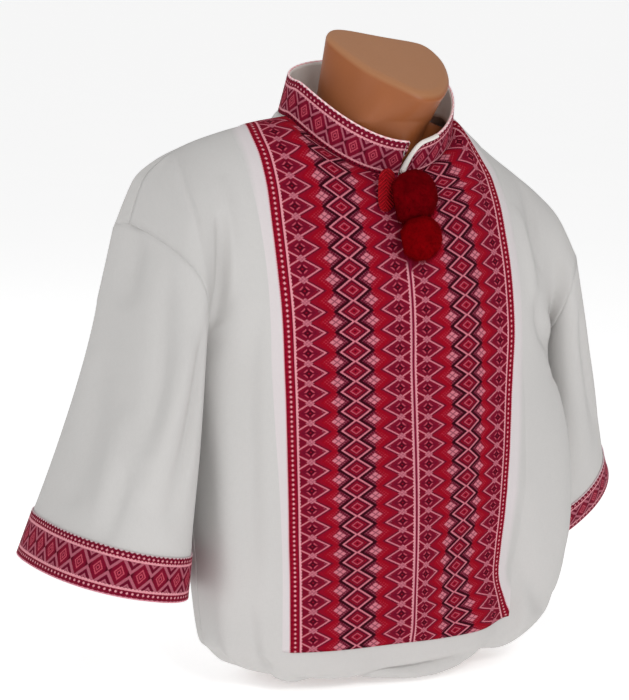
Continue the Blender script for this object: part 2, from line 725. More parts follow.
strip = {
    "width": 0.1182,               # of the ornament; beside it the strip is plain
    "whole": 0.1310,
    "pitch": 0.0175,
    "innerLine": 0.0021,
    "outerLine": 0.1086,
    "lineHalf": 0.00080,
    "columnA": (0.0112, 0.0154),   # middle and half width of the outer diamonds
    "zigzag": (0.0240, 0.0100, 0.0032),
    "star": (0.0364, 0.0062, 0.0044),
    "columnB": (0.0006, 0.0127),
    "dotsIn": 0.0047,              # the border's dots, from its outer edge
    "wall": 0.0011,
    "lift": 0.0003,
    "lap": 0.0034,
    "slitFoot": 0.342,    # the pattern's height at the foot of the neck slit
    # how the cloth is drawn: height up the strip, the pattern's own height there at the
    # middle and at the edge, then the worn distances from the middle to the inner
    # diamonds and to the ornament's edge
    "drawnIn": {
        -1: (
            (0.000, -0.0032, -0.0032, 0.0557, 0.1165),
            (0.028, 0.0270, 0.0270, 0.0570, 0.1180),
            (0.062, 0.0618, 0.0618, 0.0583, 0.1198),
            (0.093, 0.0964, 0.0964, 0.0590, 0.1213),
            (0.125, 0.1319, 0.1319, 0.0591, 0.1217),
            (0.157, 0.1664, 0.1664, 0.0590, 0.1218),
            (0.190, 0.2016, 0.2016, 0.0581, 0.1215),
            (0.223, 0.2365, 0.2365, 0.0572, 0.1212),
            (0.258, 0.2724, 0.2724, 0.0573, 0.1217),
            (0.292, 0.3070, 0.3070, 0.0574, 0.1226),
            (0.329, 0.3424, 0.3424, 0.0577, 0.1246),
            (0.364, 0.3770, 0.3770, 0.0576, 0.1262),
            (0.400, 0.4130, 0.4130, 0.0572, 0.1275),
            (0.425, 0.4377, 0.4377, 0.0600, 0.1303),
            (0.450, 0.4625, 0.4625, 0.0680, 0.1350),
            (0.490, 0.5025, 0.5025, 0.0740, 0.1370),
        ),
        1: (
            (0.000, -0.0132, -0.0214, 0.0410, 0.1150),
            (0.020, 0.0131, 0.0044, 0.0407, 0.1050),
            (0.045, 0.0450, 0.0323, 0.0393, 0.0917),
            (0.070, 0.0724, 0.0612, 0.0417, 0.0913),
            (0.100, 0.1051, 0.0984, 0.0475, 0.0940),
            (0.125, 0.1336, 0.1299, 0.0502, 0.0953),
            (0.158, 0.1690, 0.1689, 0.0534, 0.0987),
            (0.205, 0.2196, 0.2196, 0.0560, 0.1033),
            (0.245, 0.2613, 0.2613, 0.0568, 0.1087),
            (0.290, 0.3063, 0.3063, 0.0559, 0.1110),
            (0.320, 0.3375, 0.3375, 0.0547, 0.1135),
            (0.345, 0.3638, 0.3638, 0.0550, 0.1160),
            (0.374, 0.3939, 0.3939, 0.0552, 0.1213),
            (0.388, 0.4119, 0.4119, 0.0533, 0.1231),
            (0.399, 0.4289, 0.4289, 0.0516, 0.1244),
            (0.416, 0.4461, 0.4461, 0.0488, 0.1205),
            (0.430, 0.4605, 0.4605, 0.0450, 0.1170),
            (0.490, 0.5220, 0.5220, 0.0450, 0.1150),
        ),
    },
}


def threadPlace(net):
    # the middle of the thread crossing that a point belongs to, and its cell
    u, v = net.flatPlace()
    cellU = math.floor(u / thread["across"])
    cellV = math.floor(v / thread["along"])
    return u, v, cellU, cellV, (cellU + 0.5) * thread["across"], (cellV + 0.5) * thread["along"]


def wovenGround(net, colour, raised, u, v, cellU, cellV):
    # each thread differs a little; the light threads float above the ground
    cell = net.vector(cellU, cellV)
    spot = net.add("ShaderNodeTexWhiteNoise", {"noise_dimensions": "2D"}, {"Vector": cell})
    cloudy = net.noise(net.vector(u * 20, v * 20), 1.0, 2.0)
    domeU = abs((u * (math.pi / thread["across"])).sine())
    domeV = abs((v * (math.pi / thread["along"])).sine())
    return net.shade(colour, 0.80 + spot * 0.22 + cloudy * 0.16), domeU * domeV + raised * 0.9


def layAll(net, colour, layers):
    # each layer is a colour and the mask that it shows through
    for name, mask in layers:
        colour = net.over(colour, red[name], mask)
    return colour


def innerDiamonds(net, colour, fromMiddle, low, t):
    base, swing = strip["columnB"]
    rise = strip["pitch"] / 2
    slope = 1 / math.hypot(1, swing / rise)
    out = (fromMiddle - base - swing * (1 - t)) * slope
    inside = out.below(0.0)
    q = fromMiddle / (base + swing) + low / (rise * 1.04)
    line = out.near(0.0, 0.00072, 0.0002)
    colour = layAll(net, colour, (
        ("black", out.near(0.0019, 0.0012, 0.0006)),
        ("dark", inside),
        ("burgundy", inside * q.near(0.80, 0.07, 0.04)),
        ("crimson", inside * q.near(0.60, 0.070, 0.04)),
        ("rose", inside * q.near(0.37, 0.070, 0.03)),
        ("crimson", inside * q.below(0.29, 0.04)),
        ("dark", inside * q.below(0.09, 0.04)),
        ("pink", line),
    ))
    return colour, line


def outerDiamonds(net, colour, d, low, high, t, speckle, dots):
    base, swing = strip["columnA"]
    rise = strip["pitch"] / 2
    slope = 1 / math.hypot(1, swing / rise)
    across = abs(d - base)
    out = (across - swing * (1 - t)) * slope
    inside = out.below(0.0)
    q = across / 0.0050 + low / 0.0042
    gaps = (across / 0.0050).least(low / 0.0042).above(0.20, 0.05)
    tip = abs(d - base - swing + 0.0038) / 0.0018 + low / 0.0020
    triangle = (d - base + swing * (1 - t)) * slope
    line = out.near(0.0, 0.00062, 0.0002)
    knot = (across / 0.0042 + high / 0.0033).below(1.0, 0.08)
    colour = layAll(net, colour, (
        ("burgundy", out.near(0.0012, 0.0006, 0.0005) * d.above(base, 0.0004)),
        ("wine", inside),
        ("crimson", inside * speckle * 0.55),
        ("burgundy", inside * q.below(1.7, 0.2) * 0.55),
        ("dark", inside * q.below(0.74, 0.1)),
        ("rose", inside * q.near(1.0, 0.17, 0.08) * gaps),
        ("crimson", inside * q.below(0.22, 0.05)),
        ("greyPink", inside * tip.below(1.0, 0.15) * speckle),
        ("crimson", triangle.below(0.0)),
        ("burgundy", triangle.below(-0.0012) * 0.7),
        ("pink", line),
        ("dustyPink", knot),
        ("pink", knot * dots.above(0.25, 0.2) * 0.7),
    ))
    return colour, line


def stars(net, colour, d, high, speckle):
    middle, wide, tall = strip["star"]
    sx = abs(d - middle) / wide
    sy = high / tall
    ring = (sx + sy).near(1.62, 0.50, 0.2)
    star = (sx + sy).below(1.0, 0.08)
    petals = star * abs(sx - sy).above(0.13, 0.08)
    colour = layAll(net, colour, (
        ("brick", ring * speckle * d.below(middle, 0.001)),
        ("greyPink", ring * speckle * d.above(middle, 0.001)),
        ("greyPink", star),
        ("pink", petals),
    ))
    return colour, petals


def stripBorder(net, colour, b, v, outside):
    # the crimson band with its row of dots and its toothed outer edge
    step = strip["pitch"] / 4
    beat = abs((v / step).fract() - 0.5) * step
    dot = beat + abs(b - strip["dotsIn"])
    apart = step / 2 - beat
    return layAll(net, colour, (
        ("crimson", outside),
        ("palePink", outside * dot.below(0.0013, 0.0005)),
        ("dark", outside * (apart + abs(b - strip["dotsIn"])).below(0.0008, 0.0004)),
        ("dark", outside * (apart + abs(b - 0.0017)).below(0.0007, 0.0004)),
        ("burgundy", outside * b.near(0.0080, 0.0004, 0.0003)),
    ))


def stripMaterial():
    net = Net("wovenStrip", Roughness=0.92, Specular_IOR_Level=0.08)
    uTrue, vTrue, cellU, cellV, u, v = threadPlace(net)
    pitch = strip["pitch"]
    rise = pitch / 2
    middle = (strip["innerLine"] + strip["outerLine"]) / 2
    half = (strip["outerLine"] - strip["innerLine"]) / 2
    fromMiddle = abs(u - middle)
    d = half - fromMiddle                                # from the nearer line
    t = abs((v / pitch).fract() - 0.5) * 2               # 0 at a diamond's middle, 1 at a junction
    low = t * rise                                       # height from the diamond's middle
    high = (1 - t) * rise                                # height from the junction
    dots = (u * (2 * math.pi / 0.0033)).sine() * (v * (2 * math.pi / (pitch / 6))).sine()
    speckle = dots.above(0.30, 0.3)
    colour = net.over(red["burgundy"], red["crimson"], d.below(0.0345, 0.004))
    base, swing, wide = strip["zigzag"]                  # beside the outer diamonds
    zig = d - base - swing * (1 - t)
    colour = net.over(colour, red["bright"], zig.near(0, wide, 0.0012))
    colour, petals = stars(net, colour, d, high, speckle)
    colour, lineB = innerDiamonds(net, colour, fromMiddle, low, t)
    colour, lineA = outerDiamonds(net, colour, d, low, high, t, speckle, dots)
    # the two long lines, toothed towards the field
    teeth = abs((v / (pitch / 6)).fract() - 0.5).above(0.25, 0.1) * 0.0006
    line = (abs(d) - teeth * d.above(0.0)).below(strip["lineHalf"], 0.0002)
    outside = d.below(0.0)
    colour = net.over(colour, red["seam"], outside * u.below(middle))
    colour = stripBorder(net, colour, strip["width"] - u, v, outside * u.above(middle))
    # the innermost line is turned under along the slit
    line = line * (1 - (u.below(0.004) * vTrue.above(strip["slitFoot"], 0.004)))
    colour = net.over(colour, red["palePink"], line)
    raised = (line + lineA + lineB + petals).least(1.0)
    colour, height = wovenGround(net, colour, raised, uTrue, vTrue, cellU, cellV)
    # the plain margin beside the ornament is whiter than the rest of the cloth
    white = net.over(cloth["margin"], cloth["colour"], u.above(strip["whole"] - 0.001, 0.006))
    white = net.over(red["edgePink"], white, u.above(strip["width"] + 0.0006, 0.0006))
    white, plainHeight = clothGround(net, white, uTrue, vTrue)
    teeth = abs((v / (pitch / 8)).fract() - 0.5) * 0.0012
    plain = (u + teeth).above(strip["width"], 0.0003)
    net.feed("Base Color", net.over(colour, white, plain))
    net.bump(height * (1 - plain) + plainHeight * plain * 0.55, 0.00022, 0.6)
    return net.material


band = {
    "pitch": 0.0184,
    "diamond": (0.0092, 0.0109),    # half width and half height
}


def bandMaterial(name, look):
    # a narrow woven band: dots, line, row of diamonds, line, dots
    net = Net(name, Roughness=0.92, Specular_IOR_Level=0.08)
    uTrue, vTrue, cellU, cellV, u, v = threadPlace(net)
    pitch = band["pitch"]
    wide, tall = band["diamond"]
    y = abs(v - look["middle"])
    x = abs((u / pitch).fract() - 0.5) * pitch            # from a diamond's middle
    xGap = pitch / 2 - x                                  # from the meeting of two diamonds
    main = y.below(look["half"])
    tri = xGap / wide + (look["half"] - y) / tall         # 0 where a triangle's base is widest
    q = x / wide + y / tall
    inside = q.below(1.0, 0.04) * main
    r = x / 0.0039 + y / 0.0055
    step = pitch / 4
    beat = abs((u / step).fract() - 0.5) * step
    colour = layAll(net, red["wine"], (
        ("dustyPink", main),
        ("burgundy", tri.below(0.70, 0.05) * main),
        ("dustyPink", tri.below(0.34, 0.05) * main),
        ("burgundy", tri.below(0.14, 0.05) * main),
        ("wine", inside),
        ("dark", inside * x.above(wide * 0.72, 0.0015) * 0.8),
        ("rose", r.near(1.0, 0.17, 0.06)),
        ("rose", r.near(0.42, 0.12, 0.06)),
        ("burgundy", r.below(0.20, 0.06)),
    ))
    for dotRow, size in look["dots"]:
        apart = (step / 2 - beat) + abs(v - dotRow)
        colour = net.over(colour, red["burgundy"], apart.below(size, 0.0004))
        colour = net.over(colour, red["palePink"], (beat + abs(v - dotRow)).below(size, 0.0004))
    for lineRow, half in look["lines"]:
        teeth = abs((u / (pitch / 6)).fract() - 0.5).above(0.25, 0.1) * 0.0004
        colour = net.over(colour, red["palePink"], (abs(v - lineRow) - teeth).below(half, 0.0002))
    for dotRow in look["darkDots"]:
        colour = net.over(colour, red["black"], (beat + abs(v - dotRow)).below(0.0009, 0.0004))
    low, high = look["edges"]
    colour = net.over(colour, red["lowEdge"], (v + beat * 0.25).below(low, 0.0003))
    colour = net.over(colour, red["highEdge"], (v + beat * 0.60).above(high, 0.0003))
    raised = (y.near(look["half"], 0.0008) + r.near(1.0, 0.17, 0.06)).least(1.0)
    colour, height = wovenGround(net, colour, raised, uTrue, vTrue, cellU, cellV)
    net.feed("Base Color", colour)
    net.bump(height, 0.00022, 0.6)
    return net.material


wovenStrip = stripMaterial()
print("stage: cloth and woven materials")


# front, back and the woven strip

def slitShift(rows):
    first = chestRow + body["slitFirstRow"] * body["detail"]
    share = np.clip((np.arange(rows) - first) / (rows - 1 - first), 0.0, 1.0)
    return body["slitHalf"] * np.sin(share * math.pi * 0.8) ** 0.8


def openSlit(points, side):
    # draws the cloth beside the neck slit back to its side
    moved = points.copy()
    shift = slitShift(len(points))[:, None]
    reach = np.arange(points.shape[1])[::-1] if side < 0 else np.arange(points.shape[1])
    moved[:, :, 0] += side * shift * np.exp(-((reach / 5.0) ** 2))[None, :]
    return moved


middleColumn = bodyColumns
frontHalves = {
    -1: openSlit(front[:, :middleColumn + 1], -1),
    1: openSlit(front[:, middleColumn:], 1),
}


def makeFront():
    frontCut = arcGrid(front, middleColumn)
    bm = bmesh.new()
    for side in (-1, 1):
        columns = slice(0, middleColumn + 1) if side < 0 else slice(middleColumn, None)
        half = gridObject(
            "frontHalf", frontHalves[side], frontCut[:, columns], plainCloth,
            outward=gridNormals(frontHalves[side]),
        )
        bm.from_mesh(half.data)
        bpy.data.objects.remove(half)
    bmesh.ops.remove_doubles(bm, verts=bm.verts[:], dist=mergeDistance)
    piece = meshObject("frontCloth", bm, plainCloth)
    giveWall(piece, body["wall"])
    dress(piece, "front")
    return piece


def makeBack():
    cut = arcGrid(back, middleColumn)
    piece = gridObject("backCloth", back, cut, plainCloth, outward=gridNormals(back, -1))
    giveWall(piece, body["wall"])
    dress(piece, "back")
    return piece


def makeStrip(name, node, side):
    firstRow = body["stripFirstRow"] * body["detail"]
    columns = slice(None, middleColumn - stripColumns - 1, -1) if side < 0 else slice(stripColumns + 1)
    points = frontHalves[side][firstRow:, columns]
    normals = gridNormals(frontHalves[side])[firstRow:, columns]
    flat = flattened(points, arcGrid(points, 0))
    threads = np.cross(points[1:, 1:] - points[:-1, :-1], points[1:, :-1] - points[:-1, 1:])
    area = np.linalg.norm(threads, axis=2).sum() / 2
    size = [round(float(np.ptp(flat[:, :, part])), 4) for part in (0, 1)]
    print(name, "flat", size, "area", round(float(area), 5))
    across, up = flat[:, :, 0], flat[:, :, 1]
    height, edgeHeight, inner, outer = tableAt(strip["drawnIn"][side], up)
    height = height + (edgeHeight - height) * np.clip((across - 0.013) / 0.084, 0, 1.2)
    middle = (strip["innerLine"] + strip["outerLine"]) / 2
    between = middle + (across - inner) * (strip["width"] - middle) / (outer - inner)
    beyond = strip["width"] + (across - outer)
    drawn = np.where(across < outer, between, beyond)
    drawn = np.where(across < inner, across * middle / inner, drawn)
    cut = np.stack((drawn, height), axis=2)
    # the margin's outer edge is sewn down flush with the cloth
    flush = smoothStep(0.0, 0.014, across[:, -1:] - across)[:, :, None]
    lifted = points + normals * ((strip["lift"] + strip["wall"] + 0.0003) * flush - 0.0003)
    if side < 0:
        # the right edge of the slit laps over the left
        lap = (slitShift(len(front)) / body["slitHalf"])[firstRow:, None]
        lap = lap * np.exp(-((across / 0.010) ** 2))
        lifted[:, :, 0] += strip["lap"] * lap
        lifted[:, :, 1] -= strip["lap"] * 0.35 * lap
    piece = gridObject(name, lifted, cut, wovenStrip, outward=normals)
    giveWall(piece, strip["wall"])
    dress(piece, node)
    return piece


frontPiece = makeFront()
backPiece = makeBack()
stripRight = makeStrip("stripRight", "panel_right", -1)
stripLeft = makeStrip("stripLeft", "panel_left", 1)
print("stage: front, back and strips")


# sleeves with their cuff bands

sleeve = {
    # side, centre x, centre y, half x, half y, height, slope, back slope
    "right": (-1, 0.2470, 0.0170, 0.0630, 0.0900, 0.1030, 0.20, 0.04),
    "left": (1, 0.2430, 0.0850, 0.0580, 0.0800, 0.1115, 0.70, 0.14),
    "kick": {"right": (0.0, 0.0, 0.0), "left": (0.010, 0.014, 0.006)},    # of the hem, back and up
    "rows": 48,
    "cuffRows": 10,
    "squareness": 2.3,
    "flattening": 0.0080,
    "fullness": 0.0120,
    "startGap": 0.0001,
    "underarmGap": 0.0004,
    "tuck": 0.0018,
    "bandWidth": 0.0385,
    "cut": (0.46, 0.27),
}
sleeveCreases = {
    # path as shares round from the underarm, up the front, and down; half width; depth; lean
    "right": (
        (((0.46, 0.00), (0.470, 0.05), (0.465, 0.13)), 0.0110, -0.0067, 0.0),
        (((0.39, 0.03), (0.385, 0.12), (0.36, 0.24), (0.35, 0.34)), 0.0130, -0.0072, 0.3),
        (((0.30, 0.10), (0.31, 0.24), (0.33, 0.42)), 0.0140, 0.0054, 0.0),
        (((0.25, 0.05), (0.24, 0.20), (0.25, 0.44)), 0.0120, -0.0075, -0.3),
        (((0.50, 0.22), (0.48, 0.34), (0.46, 0.46)), 0.0130, -0.0063, 0.25),
        (((0.42, 0.28), (0.41, 0.38), (0.40, 0.48)), 0.0110, 0.0051, 0.0),
        (((0.38, 0.36), (0.375, 0.43), (0.37, 0.50)), 0.0090, -0.0039, 0.0),
        (((0.62, 0.10), (0.66, 0.30), (0.68, 0.47)), 0.0200, -0.0072, 0.3),
        (((0.73, 0.04), (0.72, 0.20), (0.74, 0.44)), 0.0160, 0.0051, 0.0),
        (((0.84, 0.05), (0.80, 0.25), (0.78, 0.46)), 0.0180, -0.0078, 0.0),
        (((0.08, 0.20), (0.10, 0.34), (0.09, 0.47)), 0.0160, -0.0060, 0.0),
    ),
    "left": (
        (((0.28, 0.08), (0.31, 0.24), (0.33, 0.44)), 0.0150, -0.0072, 0.3),
        (((0.40, 0.06), (0.41, 0.20), (0.40, 0.40)), 0.0140, 0.0051, 0.0),
        (((0.47, 0.10), (0.49, 0.28), (0.50, 0.46)), 0.0150, -0.0063, 0.0),
        (((0.60, 0.10), (0.63, 0.28), (0.64, 0.46)), 0.0180, -0.0072, 0.3),
        (((0.72, 0.05), (0.71, 0.24), (0.72, 0.45)), 0.0150, 0.0051, 0.0),
        (((0.82, 0.05), (0.79, 0.26), (0.77, 0.46)), 0.0180, -0.0078, 0.0),
        (((0.12, 0.16), (0.11, 0.30), (0.13, 0.46)), 0.0150, -0.0060, 0.0),
    ),
}


def armholeLoop(side):
    edge, inner = (0, 1) if side < 0 else (-1, -2)
    up = np.arange(chestRow, len(front))
    down = up[-2:0:-1]
    joined = np.concatenate((front[up, edge], back[down, edge]))
    joined[0] = 0.5 * (front[chestRow, edge] + back[chestRow, edge])
    joined[len(up) - 1] = 0.5 * (front[-1, edge] + back[-1, edge])
    onward = (front[up, edge] - front[up, inner], back[down, edge] - back[down, inner])
    onward = np.concatenate(onward)
    shares = np.concatenate((up - chestRow, down - chestRow)) / yokeRows
    upper = smoothStep(0.18, 0.5, shares)[:, None]
    sideways = np.array((side, 0.0, 0.0))
    away = unit(unit(onward) * upper + sideways * (1 - upper))
    normals = np.concatenate((gridNormals(front)[up, edge], gridNormals(back, -1)[down, edge]))
    under = joined - unit(onward) * sleeve["tuck"] - normals * sleeve["tuck"] * 0.7
    return joined, away * (sleeve["startGap"] + sleeve["underarmGap"] * (1 - upper)), under


def sleevePoints(name):
    side, centreX, centreY, halfX, halfY, height, slope, backSlope = sleeve[name]
    loop, away, under = armholeLoop(side)
    start = loop + away
    angles = np.arange(len(loop)) * 2 * math.pi / len(loop)
    power = 2 / sleeve["squareness"]
    reach = centreX - halfX * signedPower(np.cos(angles), power)
    y = centreY - halfY * signedPower(np.sin(angles), power)
    z = height + slope * (reach - centreX) + backSlope * (y - centreY)
    hem = np.stack((side * reach, y, z), axis=1)
    lengths = np.linalg.norm(hem - start, axis=1)
    cuffTop = 1 - sleeve["bandWidth"] / lengths
    outer = np.clip((side * hem[:, 0] - centreX) / halfX, 0, 1)
    fore = np.clip((centreY - hem[:, 1]) / halfY, 0, 1)
    rings = [under]
    cuffSteps = np.linspace(1, 2, sleeve["cuffRows"] + 1)[1:]
    steps = np.concatenate((np.linspace(0, 1, sleeve["rows"] + 1), cuffSteps))
    for step in steps:
        stops = cuffTop * step if step <= 1 else cuffTop + (1 - cuffTop) * (step - 1)
        ring = start + (hem - start) * stops[:, None]
        swell = np.sin(stops * math.pi)
        ring[:, 0] -= side * sleeve["flattening"] * outer * swell
        ring[:, 1] -= sleeve["fullness"] * fore * swell
        ring += np.array(sleeve["kick"][name]) * max(step - 1, 0.0) ** 1.5
        rings.append(ring)
    rings = np.array(rings)
    rings = np.concatenate((rings, rings[:, :1]), axis=1)
    return rings, np.concatenate(([0.0], steps))


def tubeNormals(points):
    ringPoints = points[:, :-1]
    around = np.roll(ringPoints, -1, axis=1) - np.roll(ringPoints, 1, axis=1)
    normals = unit(np.cross(around, np.gradient(ringPoints, axis=0)))
    if (normals * (ringPoints - ringPoints.mean(axis=1, keepdims=True))).sum() < 0:
        normals = -normals
    return np.concatenate((normals, normals[:, :1]), axis=1)


cuffLook = {
    "middle": 0.0197,
    "half": 0.0112,
    "lines": ((0.0076, 0.0008), (0.0318, 0.0008)),
    "dots": ((0.0043, 0.00120), (0.0350, 0.00120)),
    "darkDots": (),
    "edges": (0.0014, 0.0386),
}


def makeSleeve(name, node, cuffNode):
    points, steps = sleevePoints(name)
    rounds = np.linspace(0, 1, points.shape[1])
    across = np.tile(rounds, (len(points), 1)) * sleeve["cut"][0]
    along = np.tile(steps[:, None] / 2, (1, points.shape[1])) * sleeve["cut"][1]
    scaled = [(np.array(path) * sleeve["cut"], *rest) for path, *rest in sleeveCreases[name]]
    depth = creaseDepth(scaled, across, along)
    normals = tubeNormals(points)
    points = points + normals * depth[:, :, None]
    normals = tubeNormals(points)
    cut = arcGrid(points, 0)
    piece = gridObject("sleeve" + name.title(), points, cut, plainCloth, closed=True, outward=normals)
    giveWall(piece, body["wall"])
    dress(piece, node)
    # the band lies over the last part of the sleeve, and its repeats close round it
    low = sleeve["rows"] + 1
    arcs = stepLengths(points[-1])
    hemLength = float(arcs.sum())
    repeats = round(hemLength / band["pitch"])
    bandCut = cut[low:].copy()
    bandCut[:, :, 0] = (runningTotal(arcs) / arcs.sum())[None, :] * repeats * band["pitch"]
    bandCut[:, :, 1] = (2 - steps[low:])[:, None] * sleeve["bandWidth"]
    lifted = points[low:] + normals[low:] * (strip["lift"] + strip["wall"])
    cuff = gridObject(
        "cuff" + name.title(), lifted, bandCut, cuffMaterial, closed=True, outward=normals[low:],
    )
    giveWall(cuff, strip["wall"])
    dress(cuff, cuffNode)
    lengths = [round(float(length), 4) for length in (cut[-1, :, 1].min(), cut[-1, :, 1].max())]
    around = [round(length, 4) for length in (float(stepLengths(points[0]).sum()), hemLength)]
    print(name, "sleeve: round top and hem", around, "lengths", lengths, "repeats", repeats)
    return piece, cuff


cuffMaterial = bandMaterial("wovenCuff", cuffLook)
sleeveRight, cuffRight = makeSleeve("right", "sleeve_right", "cuff_band_right")
sleeveLeft, cuffLeft = makeSleeve("left", "sleeve_left", "cuff_band_left")
print("stage: sleeves")


# collar

collar = {
    "columns": 40,   # for each quarter
    "rows": 12,
    "lift": 0.0010,
    "endGaps": {-1: (0.0016, 0.0040), 1: (0.0002, 0.0000)},    # at the seam and at the rim
    "droop": (0.022, 0.90, 5.0),    # how far from its end the left rim sinks, its share and its power
    "piping": 0.0009,
    "height": 0.0330,
    "turnBack": (0.0007, 0.0032, 0.0060),    # of the lining over the left end: least, more, fade
    "turnBackColumns": 11,
    "curl": 0.0016,
}
collarLook = {
    "middle": 0.0151,
    "half": 0.0103,
    "lines": ((0.0042, 0.0006), (0.0260, 0.0007)),
    "dots": ((0.0291, 0.00105),),
    "darkDots": (0.0020,),
    "edges": (-0.001, 0.0336),
}


def collarPoints():
    quarter = np.linspace(0, math.pi / 2, collar["columns"] + 1)
    stations = [("front", angle, -1) for angle in quarter]
    stations += [("back", angle, -1) for angle in quarter[-2::-1]]
    stations += [("back", angle, 1) for angle in quarter[1:]]
    stations += [("front", angle, 1) for angle in quarter[-2::-1]]
    lower = np.array([neckPoint(neck["base"], *spot) for spot in stations])
    upper = np.array([neckPoint(neck["rim"], *spot) for spot in stations])
    for ring, part in ((lower, 0), (upper, 1)):
        ring[0, 0] -= collar["endGaps"][-1][part]
        ring[-1, 0] += collar["endGaps"][1][part]
    lower[:, 2] += collar["lift"]
    # the left end has curled outwards, so its rim rounds down to the slit
    reach, sunk, power = collar["droop"]
    fromEnd = np.linalg.norm(upper - upper[-1], axis=1)
    sinking = np.clip(1 - fromEnd / reach, 0, 1) ** power * (np.arange(len(upper)) > len(upper) / 2)
    upper += (lower - upper) * (sunk * sinking)[:, None]
    shares = np.linspace(0, 1, collar["rows"] + 1)
    points = np.array([lower + (upper - lower) * share for share in shares])
    return points, gridNormals(points, -1)


def tubeAlong(name, path, radius, material, sides=8):
    # a round cord along a path, closed at both ends
    path = np.array(path)
    ahead = unit(np.gradient(path, axis=0))
    first = unit(np.cross(ahead, np.array((0.0, 0.0, 1.0))))
    second = np.cross(ahead, first)
    turns = np.linspace(0, 2 * math.pi, sides + 1)
    ring = np.cos(turns)[None, :, None] * first[:, None]
    ring = ring + np.sin(turns)[None, :, None] * second[:, None]
    points = path[:, None] + ring * radius
    piece = gridObject(name, points, arcGrid(points, 0), material, closed=True, outward=ring)
    fillHoles(piece)
    return piece


def pipingMaterial():
    net = Net("pipingCotton", Roughness=0.8)
    u, v = net.flatPlace()
    twist = ((u * 420 + v * 900).sine() + 1) / 2
    colour = net.over(paint(240, 176, 182), paint(248, 226, 226), twist)
    net.feed("Base Color", colour)
    net.bump(twist, 0.0002, 0.5)
    return net.material


def makeTurnBack(points, normals):
    # the lining curls over the rounded left end and lies on its outside
    columns = slice(-collar["turnBackColumns"], None)
    rim, out = points[-1, columns], normals[-1, columns]
    down = np.cross(unit(np.gradient(rim, axis=0)), out)
    down = down * np.sign((down * (points[0, columns] - rim)).sum(axis=1, keepdims=True))
    down[-1] = down[-2]
    least, more, fade = collar["turnBack"]
    fromEnd = np.linalg.norm(rim - rim[-1], axis=1)[:, None]
    reach = least + more * np.exp(-((fromEnd / fade) ** 2))
    path = np.stack([
        rim - out * 0.0014 + down * 0.0016,
        rim - out * 0.0012 - down * 0.0004,
        rim - down * 0.0011,
        rim + out * 0.0016 - down * 0.0007,
        rim + out * (0.0024 + collar["curl"] * reach / 0.0048) + down * reach * 0.45,
        rim + out * 0.0016 + down * reach,
    ])
    outward = np.stack([-out] * len(path))
    piece = gridObject("collarTurnBack", path, arcGrid(path, 0), liningCloth, outward=outward)
    smooth = piece.modifiers.new("rounded", "SUBSURF")
    smooth.levels = 2
    smooth.render_levels = 2
    giveWall(piece, 0.0006, 1.0)
    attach(piece, "root")


def makeCollar():
    points, normals = collarPoints()
    along = runningTotal(stepLengths(points[-1]))
    cut = np.zeros(points.shape[:2] + (2,))
    cut[:, :, 0] = along[None, :]
    cut[:, :, 1] = np.linspace(0, 1, len(points))[:, None] * collar["height"]
    # the outside wraps round the right end, and the lining reaches down past the seam
    wrap = points[:, :1] - normals[:, :1] * 0.0015 + (points[:, :1] - points[:, 1:2]) * 0.3
    wrapped = np.concatenate((wrap, points + normals * 0.00125), axis=1)
    wrapCut = np.concatenate((cut[:, :1] - (0.0028, 0), cut), axis=1)
    outNormals = np.concatenate((normals[:, :1], normals), axis=1)
    outside = gridObject("collarOutside", wrapped, wrapCut, collarMaterial, outward=outNormals)
    giveWall(outside, strip["wall"])
    dress(outside, "collar_band")
    deep = points[:1] - (points[1:2] - points[:1]) * 1.6 - normals[:1] * 0.0012
    lining = np.concatenate((deep, points - normals * 0.00015), axis=0)
    liningCut = np.concatenate((cut[:1] - (0, 0.0045), cut), axis=0)
    liningNormals = np.concatenate((normals[:1], normals), axis=0)
    inside = gridObject("collarInside", lining, liningCut, liningCloth, outward=liningNormals)
    giveWall(inside, body["wall"])
    dress(inside, "collar_lining")
    rim = points[-1] + np.array((0, 0, 0.0004))
    piping = tubeAlong("collarPiping", rim, collar["piping"], pipingMaterial())
    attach(piping, "root")
    makeTurnBack(points, normals)
    print("collar length", round(float(along[-1]), 4))
    return outside, inside


collarMaterial = bandMaterial("wovenCollar", collarLook)
collarOutside, collarInside = makeCollar()
print("stage: collar")


# wool ties

wool = {
    # node, fibres, how much fuller than the solid, rise of its middle, dark and light colour
    "woolUpper": ("pompom_upper", 3000, (1.16, 1.0, 1.13), 0.0004, paint(76, 0, 4), paint(104, 0, 7)),
    "woolLower": ("pompom_lower", 2600, (1.20, 1.0, 1.20), 0.0084, paint(98, 0, 4), paint(122, 0, 6)),
    "core": 0.95,
    "aside": -0.0036,
    "fibre": 0.00016,
    # the slit's right side holds the wool back: reach at a height, per metre down from
    # there and per metre forwards
    "edge": (0.0213, 0.441, 0.25, 0.605),
    "tuft": 150,      # fibres made at a time
    "seed": 7,
}


def woolMaterial(name, dark, light):
    net = Net(name, Roughness=1.0, Specular_IOR_Level=0.02)
    place = net.objectPlace()
    tufts = net.noise(place, 90, 3.0, 0.5)
    colour = net.add("ShaderNodeValToRGB", {"stops": ((0.30, dark), (0.70, light))}, [tufts])
    net.feed("Base Color", colour)
    net.bump(net.noise(place, 600, 4.0, 0.7), 0.0003, 0.4)
    return net.material


def heldBack(spot):
    reach, height, down, forwards = wool["edge"]
    limit = reach + (height - spot.z) * down + spot.y * forwards
    if spot.x < limit:
        spot.x = limit + (spot.x - limit) * 0.15
    return spot


